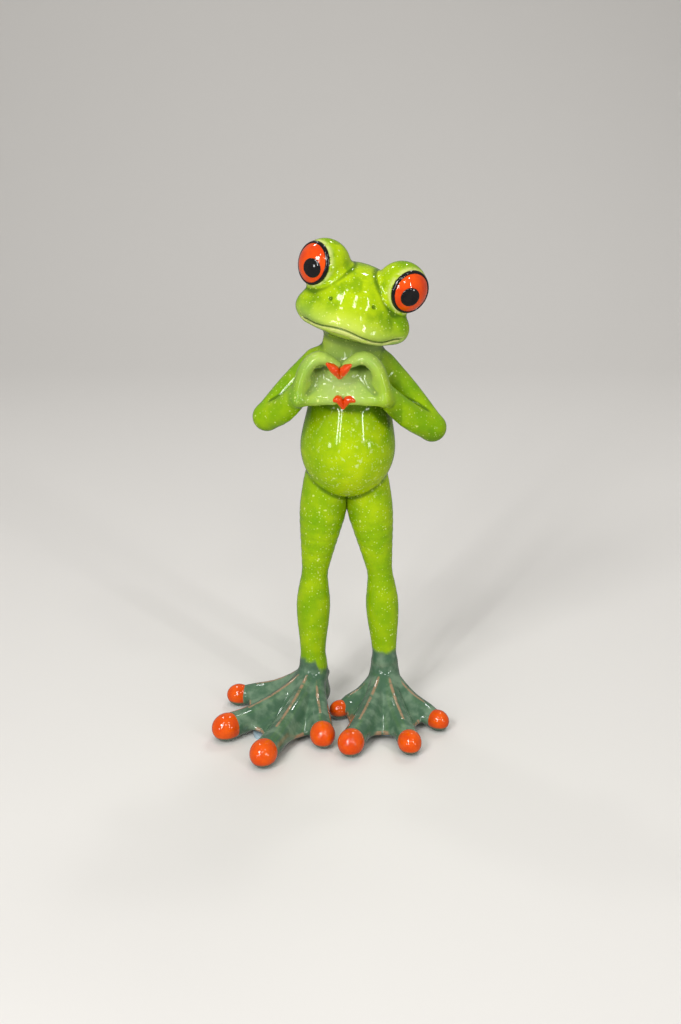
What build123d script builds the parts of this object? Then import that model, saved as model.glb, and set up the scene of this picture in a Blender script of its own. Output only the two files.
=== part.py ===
"""Standing frog ornament with its hands held as a heart.

The figure stands on z = 0 and faces -Y, so its own left side is +X.
Lengths are millimetres and angles are degrees.
"""
import os
from math import cos, radians, sin, sqrt

from build123d import *

os.makedirs("parts", exist_ok=True)

# Stance: the middle of the ankles seen from the centre of the base
stance_x = 7.5
stance_y = 18.5

# Fits between pieces
fit_clearance = 0.1
skin_gap = 0.15
cut_overrun = 60.0

# Feet
pad_thickness = 2.0
pad_length = 17.0
pad_width = 10.0
pad_reach = 20.0
sole_radius = 9.8
heel_radius = 8.6
instep_radius = 6.4
ankle_radius = 5.2
ankle_height = 22.0
ankle_spacing = 30.0
foot_length = 52.8
toe_root_height = 14.5
toe_arch_height = 9.2
toe_height = 5.6
toe_root_radius = 4.9
toe_shaft_radius = 4.5
toe_tip_radius = 5.8
toe_tip_length = 6.4
toe_peg_radius = 1.5
toe_peg_length = 3.0
web_thickness = 2.6
web_root_height = 12.5
web_height = 5.2
toe_flat = 0.3

# Toes of each foot: direction outward from straight ahead, in degrees,
# then the reach as a share of the foot length and the tip as a share of its radius
right_toe_shares = ((94, 0.62, 0.76), (51, 0.865, 0.97), (21, 1.0, 1.0), (-7, 0.645, 0.93))
left_toe_shares = ((47, 0.559, 0.78), (13, 0.765, 0.88), (-19.5, 0.816, 0.98), (-62, 0.405, 0.72))
toe_path_shares = (0.06, 0.38, 0.72)
web_reach_share = 0.76
web_front_share = 0.7
tip_seat_share = 0.72
sole_height_shares = (0, 0.3, 0.62, 1)
right_pad_angle = 36.0
left_pad_angle = 2.0
left_pad_share = 0.45

# Legs
leg_length = 78.0
hip_spacing = 17.6
hip_shift = 1.0
leg_sway = 1.0
leg_rod_radius = 1.5
leg_rod_floor_height = 10.0
leg_rod_hip_depth = 6.0
shin_radius = 5.3
upper_shin_radius = 6.35
calf_radius = 6.75
below_knee_radius = 6.0
knee_radius = 5.15
above_knee_radius = 5.9
lower_thigh_radius = 7.2
middle_thigh_radius = 8.4
thigh_radius = 9.3
hip_radius = 9.2
leg_height_shares = (0, 0.115, 0.23, 0.335, 0.425, 0.52, 0.6, 0.705, 0.795, 0.885, 1)
leg_inward_shares = (0, 0.016, 0.06, 0.11, 0.16, 0.25, 0.375, 0.55, 0.7, 0.875, 1)
leg_sway_shares = (0, 0.3, 0.9, 1, 0.2, -0.8, -1, -0.8, -0.5, 0, 0.5)
leg_depth_share = 1.04

# Torso, from the bottom of the belly to the top of the neck
belly_sink = 7.5
torso_height = 78.0
belly_radius = 19.0
belly_depth = 17.6
torso_lean = 2.0
belly_forward = 3.0
neck_spigot_radius = 5.0
neck_spigot_length = 8.0
torso_height_shares = (0.006, 0.025, 0.06, 0.12, 0.2, 0.33, 0.43, 0.5, 0.6, 0.7, 0.78, 0.85, 1)
torso_radius_shares = (0.2, 0.4, 0.59, 0.77, 0.92, 1, 0.965, 0.91, 0.8, 0.74, 0.71, 0.67, 0.62)
torso_depth_shares = (0.2, 0.4, 0.59, 0.77, 0.92, 1, 0.97, 0.91, 0.79, 0.71, 0.67, 0.63, 0.58)
torso_lean_shares = (-0.4, -0.4, -0.4, -0.4, -0.4, -0.35, -0.3, -0.2, 0, 0.2, 0.35, 0.5, 0.6)
torso_forward_shares = (0.4, 0.45, 0.5, 0.6, 0.75, 0.8, 0.6, 0.4, 0, -0.3, -0.4, -0.4, -0.4)

# Arms: shoulder and elbow, measured from the axis of the figure; the shoulder keeps
# its distance below the head and the elbow its share of the torso height
shoulder_below_head = 22.6044
elbow_height_share = 0.459
shoulder_reach = 13.2
shoulder_back = 1.0
shoulder_tilt = 0.8
elbow_reach = 32.4
elbow_forward = 7.0
elbow_tilt = 2.2
forearm_sag = 1.5
shoulder_radius = 5.8
shoulder_ball_radius = 6.2
upper_arm_radius = 5.4
elbow_radius = 5.2
elbow_ball_radius = 5.9
forearm_radius = 4.9
arm_spigot_radius = 2.5
arm_spigot_length = 7.0

# Hands, measured from the middle of the heart that they close round under the head
heart_below_head = 25.4046
heart_x = -3.2
heart_forward = 18.6
heart_width = 16.6
heart_rise = 11.0
heart_drop = 9.0
wrist_radius = 3.9
wrist_ball_radius = 4.3
hand_depth = 4.2
hand_thickness = 2.5
thumb_depth = 3.4
thumb_thickness = 2.3
finger_end_thickness = 1.8
thumb_end_thickness = 1.7
finger_end_length = 4.6
thumb_end_length = 4.0
tip_peg_radius = 0.8
tip_peg_length = 1.6
hand_out_shares = (0.97, 0.9, 0.8, 0.63, 0.42, 0.24)
hand_up_shares = (-0.44, 0.12, 0.57, 0.855, 0.9, 0.76)
thumb_out_shares = (0.9, 0.61, 0.4, 0.26)
thumb_up_shares = (-0.67, -0.64, -0.62, -0.65)
red_seat_share = 0.4

# Head, measured from a point midway between the cheeks
head_height_share = 1.0244
head_x = 1.0
head_forward = 3.5
head_roll = 16.0
head_turn = 6.0
jaw_drop = 2.8
jaw_shift = 0.7
jaw_width = 23.0
jaw_depth = 21.5
jaw_height = 10.8
skull_width = 19.6
skull_depth = 18.8
skull_height = 14.2
skull_rise = 4.2
skull_back = 1.5
mouth_height = -3.0
mouth_width = 0.9
mouth_depth = 0.9

# Eyes
eye_spacing = 32.2
eye_rise = 14.4
eye_forward = 3.0
eye_bulge_radius = 9.6
eye_outward_angle = 38.0
eye_opening_depth = 4.9
eyeball_rise = 0.6
eyeball_seat_depth = 2.4
eye_shank_radius = 2.2
eye_shank_length = 5.0
eye_rim_radius = 0.65
pupil_radius = 3.75
pupil_outward_angle = 14.7
pupil_drop_angle = 5.4
pupil_rise = 0.35
pupil_seat_depth = 1.2

# Rounded limb ends: distance out and size, as shares of the last section
dome_shares = ((0.5, 0.866), (0.8, 0.6), (0.95, 0.312))

# Places worked out from the sizes above
ankle_top = Plane.XY.offset(ankle_height)
leg_top = ankle_height + leg_length
leg_rod_foot_depth = ankle_height - leg_rod_floor_height
leg_rod_length = leg_rod_foot_depth + leg_length + leg_rod_hip_depth
belly_bottom_height = leg_top - belly_sink
elbow_height = belly_bottom_height + torso_height * elbow_height_share
head_height = belly_bottom_height + torso_height * head_height_share
shoulder_height = head_height - shoulder_below_head
heart_height = head_height - heart_below_head
heart_plane_x = stance_x + heart_x
eye_opening_radius = sqrt(eye_bulge_radius**2 - eye_opening_depth**2)
eyeball_height = eye_bulge_radius + eyeball_rise - eye_opening_depth
eyeball_radius = (eyeball_height**2 + eye_opening_radius**2) / (2 * eyeball_height)
eyeball_offset = eye_bulge_radius + eyeball_rise - eyeball_radius
head_place = Location(
    (stance_x + head_x, stance_y - head_forward, head_height), (0, head_roll, -head_turn)
)
jaw_place = head_place * Location((jaw_shift, 0, -jaw_drop))
jaw_plane = Plane(jaw_place)


def at(x, y, z):
    """A point given from the floor midway between the ankles."""
    return Vector(stance_x + x, stance_y + y, z)


def ellipse_on(plane, x_radius, y_radius):
    with BuildSketch(plane) as section:
        Ellipse(x_radius, y_radius)
    return section.sketch


def dome_on(plane, x_radius, y_radius):
    """The shrinking sections that close a limb beyond its last plane."""
    sections = []
    for out_share, size_share in dome_shares:
        place = plane.offset(y_radius * out_share)
        sections.append(ellipse_on(place, x_radius * size_share, y_radius * size_share))
    sections.append(Vertex(*plane.offset(y_radius).origin))
    return sections


def limb_planes(points, across):
    """Planes square to a chain of points; across holds them from twisting."""
    planes = []
    for number, point in enumerate(points):
        before = points[max(number - 1, 0)]
        after = points[min(number + 1, len(points) - 1)]
        along = (after - before).normalized()
        square = across - along * across.dot(along)
        planes.append(Plane(origin=point, x_dir=square, z_dir=along))
    return planes


def ellipses_on(planes, x_radii, y_radii):
    return [ellipse_on(*item) for item in zip(planes, x_radii, y_radii)]


def lofted(sections):
    with BuildPart() as shape:
        loft(sections=sections)
    return shape.part


def ellipsoid(plane, x_radius, y_radius, z_radius):
    with BuildPart() as ball:
        Sphere(1)
        scale(by=(x_radius, y_radius, z_radius))
    return plane.location * ball.part


def rod(plane, radius, length):
    """A round bar that starts on the plane and runs along its normal."""
    with BuildPart(plane) as bar:
        Cylinder(radius, length, align=(Align.CENTER, Align.CENTER, Align.MIN))
    return bar.part


def grown(body, size):
    """The body made larger all round, so that a neighbour cut by it keeps clear."""
    factor = 1 + skin_gap / size
    return scale(body, by=factor, about=body.center(), mode=Mode.PRIVATE)


# Torso before it is fitted to its neighbours
torso_pole = at(
    torso_lean * torso_lean_shares[0],
    -belly_forward * torso_forward_shares[0],
    belly_bottom_height,
)
torso_sections = [Vertex(*torso_pole)]
for height, wide, deep, lean, forward in zip(
    torso_height_shares,
    torso_radius_shares,
    torso_depth_shares,
    torso_lean_shares,
    torso_forward_shares,
):
    middle = at(
        torso_lean * lean,
        -belly_forward * forward,
        belly_bottom_height + torso_height * height,
    )
    torso_sections.append(ellipse_on(Plane(middle), belly_radius * wide, belly_depth * deep))
with BuildPart() as torso_body:
    loft(sections=torso_sections)

# Head before it is fitted to its neighbours
head_shapes = [ellipsoid(jaw_plane, jaw_width, jaw_depth, jaw_height)]
skull_plane = Plane(head_place * Location((0, skull_back, skull_rise)))
head_shapes.append(ellipsoid(skull_plane, skull_width, skull_depth, skull_height))
bulge_places = []
for side in (-1, 1):
    bulge_places.append(head_place * Location((side * eye_spacing / 2, -eye_forward, eye_rise)))
with BuildPart() as head_body:
    add(head_shapes)
    with Locations(bulge_places):
        Sphere(eye_bulge_radius)

torso_room = grown(torso_body.part, belly_radius)
head_room = grown(head_body.part, jaw_width)


# Feet, toe tips and pads
def toe_direction(side, angle):
    return Vector(side * sin(radians(angle)), -cos(radians(angle)), 0)


def ankle_point(side, height):
    return at(side * ankle_spacing / 2, 0, height)


def toe_seat(side, toe):
    """The plane on which a toe tip sits, facing out along the toe."""
    angle, reach_share, tip_share = toe
    direction = toe_direction(side, angle)
    reach = foot_length * reach_share - toe_tip_length * tip_share * tip_seat_share
    height = toe_tip_radius * tip_share - toe_flat
    return Plane(
        origin=ankle_point(side, height) + direction * reach,
        x_dir=direction.cross(Vector(0, 0, 1)),
        z_dir=direction,
    )


def toe_shaft(side, toe):
    angle, reach_share, tip_share = toe
    direction = toe_direction(side, angle)
    seat = toe_seat(side, toe)
    heights = (toe_root_height, toe_arch_height, toe_height)
    points = []
    for share, height in zip(toe_path_shares, heights):
        points.append(ankle_point(side, height) + direction * (foot_length * reach_share * share))
    seat_radius = toe_tip_radius * tip_share * sqrt(1 - tip_seat_share**2)
    radii = (toe_root_radius, toe_shaft_radius, toe_shaft_radius * tip_share, seat_radius)
    planes = limb_planes(points + [seat.origin], seat.x_dir)[:-1] + [seat]
    return lofted(ellipses_on(planes, radii, radii))


def web(side, first_toe, second_toe):
    """The thin skin between two toes, with its front edge curved inward."""
    root = ankle_point(side, web_root_height)
    corners = []
    for angle, reach_share, tip_share in (first_toe, second_toe):
        reach = foot_length * reach_share * web_reach_share
        corners.append(ankle_point(side, web_height) + toe_direction(side, angle) * reach)
    first, second = corners
    bisector = ((first - root).normalized() + (second - root).normalized()).normalized()
    mean_reach = ((first - root).length + (second - root).length) / 2
    front = root + bisector * (mean_reach * web_front_share / web_reach_share)
    plane = Plane(origin=root, x_dir=first - root, z_dir=(first - root).cross(second - root))
    flat_root, flat_first, flat_front, flat_second = [
        plane.to_local_coords(point) for point in (root, first, front, second)
    ]
    with BuildPart() as skin:
        with BuildSketch(plane):
            with BuildLine():
                Line(flat_root, flat_first)
                Spline(flat_first, flat_front, flat_second)
                Line(flat_second, flat_root)
            make_face()
        extrude(amount=web_thickness / 2, both=True)
    return skin.part


def foot_pad(side, angle, reach, clearance):
    """The pad under a foot, or with a clearance the room for it in the sole."""
    direction = toe_direction(side, angle)
    place = Plane(origin=ankle_point(side, 0) + direction * reach, x_dir=direction, z_dir=(0, 0, 1))
    with BuildPart() as pad:
        with BuildSketch(place):
            Ellipse(pad_length + clearance, pad_width + clearance)
        extrude(amount=pad_thickness)
    return pad.part


def leg_rod_plane(side, below):
    """Where a leg rod starts, aimed from the ankle to the hip."""
    ankle = ankle_point(side, ankle_height)
    hip = at(side * hip_spacing / 2 - hip_shift, 0, leg_top)
    direction = (hip - ankle).normalized()
    return Plane(origin=ankle - direction * below, z_dir=direction)


def foot(side, toes, pad_room):
    heights = [pad_thickness + (ankle_height - pad_thickness) * share for share in sole_height_shares]
    radii = (sole_radius, heel_radius, instep_radius, ankle_radius)
    planes = [Plane(ankle_point(side, height)) for height in heights]
    shapes = [lofted(ellipses_on(planes, radii, radii))]
    shapes += [toe_shaft(side, toe) for toe in toes]
    shapes += [web(side, *pair) for pair in zip(toes, toes[1:])]
    pegs = [rod(toe_seat(side, toe), toe_peg_radius, toe_peg_length) for toe in toes]
    socket_plane = leg_rod_plane(side, leg_rod_foot_depth + fit_clearance)
    socket = rod(socket_plane, leg_rod_radius + fit_clearance, cut_overrun)
    with BuildPart() as body:
        add(shapes)
        split(bisect_by=ankle_top, keep=Keep.BOTTOM)
        add(pad_room, mode=Mode.SUBTRACT)
        add(pegs)
        add(socket, mode=Mode.SUBTRACT)
    return body.part


def toe_tip(side, toe):
    angle, reach_share, tip_share = toe
    seat = toe_seat(side, toe)
    half_length = toe_tip_length * tip_share
    middle = seat.offset(half_length * tip_seat_share)
    radius = toe_tip_radius * tip_share
    ball = ellipsoid(middle, radius, radius, half_length)
    hole = rod(seat, toe_peg_radius + fit_clearance, toe_peg_length + fit_clearance)
    with BuildPart() as tip:
        add(ball)
        split(bisect_by=seat, keep=Keep.TOP)
        split(bisect_by=Plane.XY, keep=Keep.TOP)
        add(hole, mode=Mode.SUBTRACT)
    return tip.part


# Legs and the rods inside them
def leg_rod(side):
    return rod(leg_rod_plane(side, leg_rod_foot_depth), leg_rod_radius, leg_rod_length)


def leg_rod_bore(side):
    plane = leg_rod_plane(side, leg_rod_foot_depth + fit_clearance)
    return rod(plane, leg_rod_radius + fit_clearance, leg_rod_length + 2 * fit_clearance)


def leg(side):
    planes = []
    places = zip(leg_height_shares, leg_inward_shares, leg_sway_shares)
    for height_share, inward_share, sway_share in places:
        half_spacing = (ankle_spacing + (hip_spacing - ankle_spacing) * inward_share) / 2
        middle = at(
            side * half_spacing - hip_shift * inward_share,
            leg_sway * sway_share,
            ankle_height + leg_length * height_share,
        )
        planes.append(Plane(origin=middle, x_dir=(0, 1, 0), z_dir=(0, 0, 1)))
    widths = (
        ankle_radius,
        shin_radius,
        upper_shin_radius,
        calf_radius,
        below_knee_radius,
        knee_radius,
        above_knee_radius,
        lower_thigh_radius,
        middle_thigh_radius,
        thigh_radius,
        hip_radius,
    )
    depths = [ankle_radius] + [leg_depth_share * width for width in widths[1:]]
    sections = ellipses_on(planes, depths, widths) + dome_on(planes[-1], depths[-1], widths[-1])
    shaft = lofted(sections)
    inner_plane = Plane(
        origin=(stance_x - hip_shift + side * skin_gap / 2, 0, 0), z_dir=(side, 0, 0)
    )
    bore = leg_rod_bore(side)
    with BuildPart() as body:
        add(shaft)
        split(bisect_by=inner_plane, keep=Keep.TOP)
        add(torso_room, mode=Mode.SUBTRACT)
        add(bore, mode=Mode.SUBTRACT)
    return body.part


# Arms, hands and their red ends
def heart_point(side, out_share, up):
    """A point of the heart, out to one side of its middle."""
    return at(heart_x + side * heart_width * out_share, -heart_forward, heart_height + up)


def shoulder_point(side):
    return at(side * shoulder_reach, shoulder_back, shoulder_height - side * shoulder_tilt)


def arm_spigot(side, clearance):
    start = shoulder_point(side) + Vector(side * shoulder_radius / 2, 0, 0)
    plane = Plane(origin=start, z_dir=(-side, 0, 0))
    length = shoulder_radius / 2 + arm_spigot_length
    return rod(plane, arm_spigot_radius + clearance, length + clearance)


def elbow_point(side):
    return at(side * elbow_reach, -elbow_forward, elbow_height - side * elbow_tilt)


def hand_path(side):
    """From the wrist up and over to the place where the red finger end begins."""
    points = []
    for out_share, up_share in zip(hand_out_shares, hand_up_shares):
        points.append(heart_point(side, out_share, heart_rise * up_share))
    with BuildLine() as path:
        Spline(*points)
    return path.line


def thumb_path(side):
    points = []
    for out_share, up_share in zip(thumb_out_shares, thumb_up_shares):
        points.append(heart_point(side, out_share, heart_drop * up_share))
    with BuildLine() as path:
        Spline(*points)
    return path.line


def path_end(path):
    """The plane square to a path at its end, facing out of it."""
    return Plane(origin=path @ 1, x_dir=(0, 1, 0), z_dir=path % 1)


def swept(path, depth, thickness):
    start = Plane(origin=path @ 0, x_dir=(0, 1, 0), z_dir=path % 0)
    section = ellipse_on(start, depth, thickness)
    with BuildPart() as shape:
        sweep(sections=section, path=path)
    return shape.part


def arm(side):
    shoulder = shoulder_point(side)
    elbow = elbow_point(side)
    fingers = hand_path(side)
    thumb = thumb_path(side)
    wrist = fingers @ 0
    sagging = (elbow + wrist) / 2 - Vector(0, 0, forearm_sag)
    across = Vector(0, 1, 0)
    upper_planes = limb_planes([shoulder, (shoulder + elbow) / 2, elbow], across)
    upper_radii = (shoulder_radius, upper_arm_radius, elbow_radius)
    lower_planes = limb_planes([elbow, sagging, wrist], across)
    lower_radii = (elbow_radius, forearm_radius, wrist_radius)
    upper = lofted(ellipses_on(upper_planes, upper_radii, upper_radii))
    lower = lofted(ellipses_on(lower_planes, lower_radii, lower_radii))
    shapes = [upper, lower, swept(fingers, hand_depth, hand_thickness)]
    shapes.append(swept(thumb, thumb_depth, thumb_thickness))
    pegs = [rod(path_end(path), tip_peg_radius, tip_peg_length) for path in (fingers, thumb)]
    pegs.append(arm_spigot(side, 0))
    with BuildPart() as body:
        with Locations(shoulder):
            Sphere(shoulder_ball_radius)
        with Locations(elbow):
            Sphere(elbow_ball_radius)
        with Locations(wrist):
            Sphere(wrist_ball_radius)
        add(shapes)
        add(torso_room, mode=Mode.SUBTRACT)
        add(pegs)
    return body.part


def middle_of_heart(side):
    return Plane(origin=(heart_plane_x + side * skin_gap / 2, 0, 0), z_dir=(side, 0, 0))


def red_tip(side, path, depth, thickness, length):
    """A rounded red end that sits on the end of a finger or thumb."""
    seat = path_end(path)
    middle = seat.offset(length * red_seat_share)
    ball = ellipsoid(middle, depth, thickness, length)
    hole = rod(seat, tip_peg_radius + fit_clearance, tip_peg_length + fit_clearance)
    with BuildPart() as tip:
        add(ball)
        split(bisect_by=seat, keep=Keep.TOP)
        split(bisect_by=middle_of_heart(side), keep=Keep.TOP)
        add(torso_room, mode=Mode.SUBTRACT)
        add(hole, mode=Mode.SUBTRACT)
    return tip.part


# Eyes
def eye_plane(side):
    """The middle of an eye bulge, with its normal along the gaze."""
    outward = radians(eye_outward_angle)
    local = Plane(
        origin=(side * eye_spacing / 2, -eye_forward, eye_rise),
        x_dir=(cos(outward), side * sin(outward), 0),
        z_dir=(side * sin(outward), -cos(outward), 0),
    )
    return Plane(head_place * local.location)


def pupil_plane(side):
    """The middle of an eyeball, with its normal through the pupil."""
    outward = radians(eye_outward_angle)
    pupil_outward = radians(pupil_outward_angle)
    drop = radians(pupil_drop_angle)
    bulge_middle = Vector(side * eye_spacing / 2, -eye_forward, eye_rise)
    local = Plane(
        origin=bulge_middle + Vector(side * sin(outward), -cos(outward), 0) * eyeball_offset,
        x_dir=(cos(pupil_outward), side * sin(pupil_outward), 0),
        z_dir=(
            side * sin(pupil_outward) * cos(drop),
            -cos(pupil_outward) * cos(drop),
            -sin(drop),
        ),
    )
    return Plane(head_place * local.location)


def pupil(side, clearance):
    plane = pupil_plane(side)
    seat = plane.offset(eyeball_radius - pupil_seat_depth)
    stud = rod(seat, pupil_radius + clearance, eyeball_radius)
    with BuildPart() as dome:
        with Locations(plane.location):
            Sphere(eyeball_radius + pupil_rise)
        add(stud, mode=Mode.INTERSECT)
    return dome.part


def eye_rim(side, clearance):
    with BuildPart(eye_plane(side).offset(eye_opening_depth)) as ring:
        Torus(eye_opening_radius, eye_rim_radius + clearance)
    return ring.part


def eye_bead(side, clearance):
    """The domed eye on its shank, or the room for it in the head."""
    plane = eye_plane(side)
    seat = plane.offset(eyeball_seat_depth - clearance)
    shank_plane = plane.offset(eyeball_seat_depth - eye_shank_length - clearance)
    shank = rod(shank_plane, eye_shank_radius + clearance, eye_shank_length + eye_opening_depth)
    with BuildPart() as bead:
        with Locations(plane.offset(eyeball_offset).location):
            Sphere(eyeball_radius + clearance)
        split(bisect_by=seat, keep=Keep.TOP)
        add(shank)
    return bead.part


def eyeball(side):
    bead = eye_bead(side, 0)
    stud_plane = pupil_plane(side).offset(eyeball_radius - pupil_seat_depth)
    stud = rod(stud_plane, pupil_radius + fit_clearance, eyeball_radius)
    rim_room = eye_rim(side, fit_clearance)
    with BuildPart() as ball:
        add(bead)
        add(stud, mode=Mode.SUBTRACT)
        add(rim_room, mode=Mode.SUBTRACT)
    return ball.part


# Head and torso, fitted
def neck_spigot(clearance):
    middle = at(torso_lean * torso_lean_shares[-1], -belly_forward * torso_forward_shares[-1], 0)
    start = Plane(middle).offset(head_height - jaw_drop - jaw_height - neck_spigot_length)
    return rod(start, neck_spigot_radius + clearance, 2 * neck_spigot_length + clearance)


spigot = neck_spigot(0)
spigot_room = neck_spigot(fit_clearance)
arm_rooms = [arm_spigot(side, fit_clearance) for side in (-1, 1)]
rod_rooms = [leg_rod_bore(side) for side in (-1, 1)]
with BuildPart() as torso:
    add(torso_body.part)
    add(head_room, mode=Mode.SUBTRACT)
    add(spigot)
    add(arm_rooms + rod_rooms, mode=Mode.SUBTRACT)

mouth_core = ellipsoid(jaw_plane, jaw_width - mouth_depth, jaw_depth - mouth_depth, jaw_height)
with BuildPart() as mouth:
    with Locations(jaw_place * Location((0, -cut_overrun / 2, mouth_height))):
        Box(cut_overrun, cut_overrun, mouth_width)
    add(mouth_core, mode=Mode.SUBTRACT)
eye_rooms = [eye_bead(side, fit_clearance) for side in (-1, 1)]
rim_rooms = [eye_rim(side, fit_clearance) for side in (-1, 1)]
with BuildPart() as head:
    add(head_body.part)
    add(spigot_room, mode=Mode.SUBTRACT)
    add(mouth.part, mode=Mode.SUBTRACT)
    for room in rim_rooms + eye_rooms:
        add(room, mode=Mode.SUBTRACT)

feet = (
    ("right", -1, right_toe_shares, right_pad_angle, pad_reach),
    ("left", 1, left_toe_shares, left_pad_angle, pad_reach * left_pad_share),
)
pieces = {}
for name, side, toes, pad_angle, pad_place in feet:
    pad_room = foot_pad(side, pad_angle, pad_place, fit_clearance)
    pieces["foot_pad_" + name] = foot_pad(side, pad_angle, pad_place, 0)
    pieces["foot_" + name] = foot(side, toes, pad_room)
    for number, toe in enumerate(toes, start=1):
        pieces[f"toe_tip_{name}_{number}"] = toe_tip(side, toe)

for name, side in (("right", -1), ("left", 1)):
    pieces["leg_rod_" + name] = leg_rod(side)
    pieces["leg_" + name] = leg(side)
    pieces["arm_" + name] = arm(side)
    pieces["finger_tip_" + name] = red_tip(
        side, hand_path(side), thumb_depth, finger_end_thickness, finger_end_length
    )
    pieces["thumb_tip_" + name] = red_tip(
        side, thumb_path(side), thumb_depth, thumb_end_thickness, thumb_end_length
    )
    pieces["eye_rim_" + name] = eye_rim(side, 0)
    pieces["eyeball_" + name] = eyeball(side)
    pieces["pupil_" + name] = pupil(side, 0)
pieces["torso"] = torso.part
pieces["head"] = head.part

for name, piece in pieces.items():
    piece.label = name
    export_step(piece, f"parts/{name}.step")
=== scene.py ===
"""Glossy frog ornament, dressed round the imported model.

Shapes are worked out as distance fields in millimetres, measured from the floor
midway between the ankles, and become meshes in metres in the frame of the model.
A pair whose name ends in RAMP goes from nought to one between its two values. A
pair whose name ends in PATCH holds the middle of a soft patch and its spread.
"""
from math import cos, radians, sin

import bpy
import numpy as np
import openvdb
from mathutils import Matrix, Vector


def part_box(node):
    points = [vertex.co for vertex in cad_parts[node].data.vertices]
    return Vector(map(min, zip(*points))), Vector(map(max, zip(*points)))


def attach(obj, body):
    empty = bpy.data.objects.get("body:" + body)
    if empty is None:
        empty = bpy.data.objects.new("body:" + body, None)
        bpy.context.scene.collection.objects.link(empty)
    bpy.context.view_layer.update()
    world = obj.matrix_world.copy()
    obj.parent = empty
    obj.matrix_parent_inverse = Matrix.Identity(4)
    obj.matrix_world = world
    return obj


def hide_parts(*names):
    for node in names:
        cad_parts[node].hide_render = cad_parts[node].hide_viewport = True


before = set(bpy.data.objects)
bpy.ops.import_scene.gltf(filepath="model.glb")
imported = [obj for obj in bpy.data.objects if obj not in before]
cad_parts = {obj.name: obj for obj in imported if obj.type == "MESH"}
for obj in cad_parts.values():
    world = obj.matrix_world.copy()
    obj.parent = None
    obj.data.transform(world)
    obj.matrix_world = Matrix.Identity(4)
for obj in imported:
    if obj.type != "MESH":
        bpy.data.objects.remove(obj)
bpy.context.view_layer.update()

MM = 0.001
STANCE = np.array((7.5, 18.5, 0.0))
SIDES = (("right", -1), ("left", 1))

# Meshing
VOXEL = 0.42
FINE_VOXEL = 0.34
RIM_VOXEL = FINE_VOXEL * 0.7
BLOCK = 4
NEAR_SURFACE = 2.6
PIECE_MARGIN = 4.0
NEIGHBOUR_MARGIN = 9.0
SHADING_REACH = 0.35
RECESS_REACH = 1.7
TINY = 1e-6

# Feet
ANKLE_SPACING = 30.0
FOOT_LENGTH = 52.8
SOLE_HEIGHT = 1.2
SHANK_HEIGHTS = (21.0, 14.0, 7.5)
SHANK_RADII = (5.2, 6.0, 7.0)
SHANK_BARS = 5
HEEL_HEIGHT = 6.5
HEEL_BACK = 4.0
HEEL_RADIUS = 6.0
HEEL_JOIN = 3.0
WEB_THICKNESS = 2.2
WEB_FRONT = 0.71
WEB_CORNER = 0.84
WEB_ROOT_HEIGHT = 13.5
WEB_CORNER_HEIGHT = 5.4
WEB_FRONT_HEIGHT = 3.6
WEB_JOIN = 2.2

# Toes: angle outward from straight ahead, share of the foot's length and size of the end
TOES = {
    "right": ((94, 0.605, 0.83), (51, 0.85, 1.02), (21, 1.0, 1.0), (-7, 0.645, 0.95)),
    "left": ((47, 0.559, 0.78), (13, 0.765, 0.88), (-19.5, 0.816, 0.98), (-62, 0.405, 0.72)),
}
TOE_TIP_RADIUS = 5.65
TOE_TIP_NARROW = 0.96
TOE_TIP_LENGTH = 6.4
TOE_TIP_INSIDE = 0.55
TOE_TIP_FLOOR = 0.02
TOE_FLAT = 0.3
TOE_JOIN = 1.6
TOE_BARS = 9
# Along a toe: height, share of its reach, radius and how far that follows the toe's size
TOE_STATIONS = (
    (16.0, 0.02, 4.4, 0.0),
    (11.2, 0.25, 4.2, 0.0),
    (7.6, 0.5, 4.5, 0.5),
    (5.6, 0.75, 4.9, 0.7),
)
TOE_END_RADIUS = 5.1
RIDGE_RADII = (0.7, 0.7, 0.6, 0.4)
RIDGE_SINK = 0.25
RIDGE_JOIN = 0.7

# Legs: height, distance of the middle from the figure's axis, sway and radius
LEG_STATIONS = (
    (17.0, 15.0, 0.0, 5.5),
    (24.0, 15.0, 0.0, 4.95),
    (31.0, 14.9, 0.3, 5.3),
    (40.0, 14.6, 0.9, 6.35),
    (48.0, 14.3, 1.0, 6.75),
    (55.0, 14.0, 0.2, 6.0),
    (62.5, 13.4, -0.8, 5.1),
    (69.0, 12.6, -1.0, 5.9),
    (77.0, 11.5, -0.8, 7.2),
    (84.0, 10.5, -0.5, 8.4),
    (91.0, 9.4, 0.0, 9.3),
    (100.0, 8.4, 0.5, 9.0),
    (106.0, 7.9, 0.6, 8.2),
)
LEG_BARS = 26
LEG_EXTRA_RADIUS = {-1: 0.25, 1: 0.05}
# Legs lean to the frog's right by the hip shift where they have come in by its span, and
# bow the same way by the leg shift halfway up
HIP_SHIFT = 1.0
HIP_SHIFT_SPAN = 6.2
LEG_SHIFT = 0.5

# Hands: the middle of the heart that they make, and its size
HEART_X = -3.2
HEART_FORWARD = 18.6
HEART_HEIGHT = 147.0
HEART_WIDTH = 16.6
HEART_RISE = 11.0
HEART_DROP = 9.0
HAND_SQUEEZE = 0.6
# Places along fingers and thumb as shares of the heart: outward and upward
FINGER_SHARES = ((1.0, -0.5), (0.93, 0.05), (0.83, 0.5), (0.65, 0.84), (0.42, 0.92), (0.1, 0.66))
FINGER_RADII = (3.3, 2.9, 2.8, 2.7, 2.5, 1.7)
FINGER_BARS = 12
THUMB_SHARES = ((0.95, -0.6), (0.62, -0.66), (0.4, -0.63), (0.2, -0.66))
THUMB_RADII = (3.0, 2.5, 2.3, 1.9)
THUMB_BARS = 6
THUMB_JOIN = 1.5

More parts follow.
